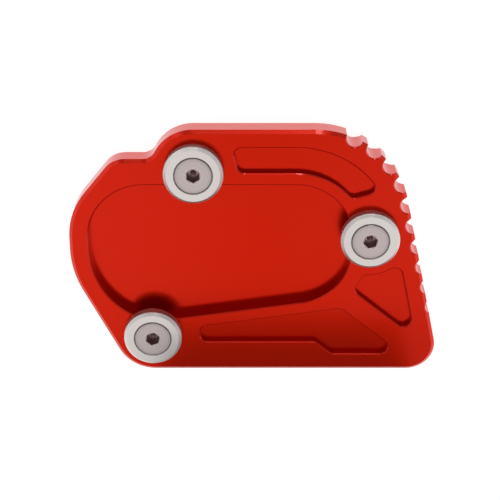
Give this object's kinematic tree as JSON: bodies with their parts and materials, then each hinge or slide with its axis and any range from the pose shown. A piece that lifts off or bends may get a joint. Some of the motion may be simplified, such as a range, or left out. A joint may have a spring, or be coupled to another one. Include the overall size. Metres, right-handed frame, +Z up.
{
  "type": "kickstand foot enlarger",
  "caption": "Milled aluminium plate with a pocket for a motorcycle side stand's foot, toothed on one edge, with screwed clamp discs that overlap the pocket's rim and hold the foot in.",
  "frame": {"origin": "middle of the part's box, on the underside that rests on the ground", "axes": "+X along the foot pocket towards the toothed edge, +Y across it towards the arched relief pocket, +Z up out of the pocket"},
  "size_m": [0.1176, 0.0836, 0.013],
  "materials": {
    "anodised_red": "satin red anodised, milled",
    "turned_aluminium": "satin clear anodised, turned",
    "screw_steel": "satin"
  },
  "bodies": {
    "root": {"base_plate": "anodised_red", "clamp_disc_upper": "turned_aluminium", "clamp_disc_right": "turned_aluminium", "clamp_disc_lower": "turned_aluminium", "clamp_screw_upper": "screw_steel", "clamp_screw_right": "screw_steel", "clamp_screw_lower": "screw_steel"}
  },
  "joints": []
}
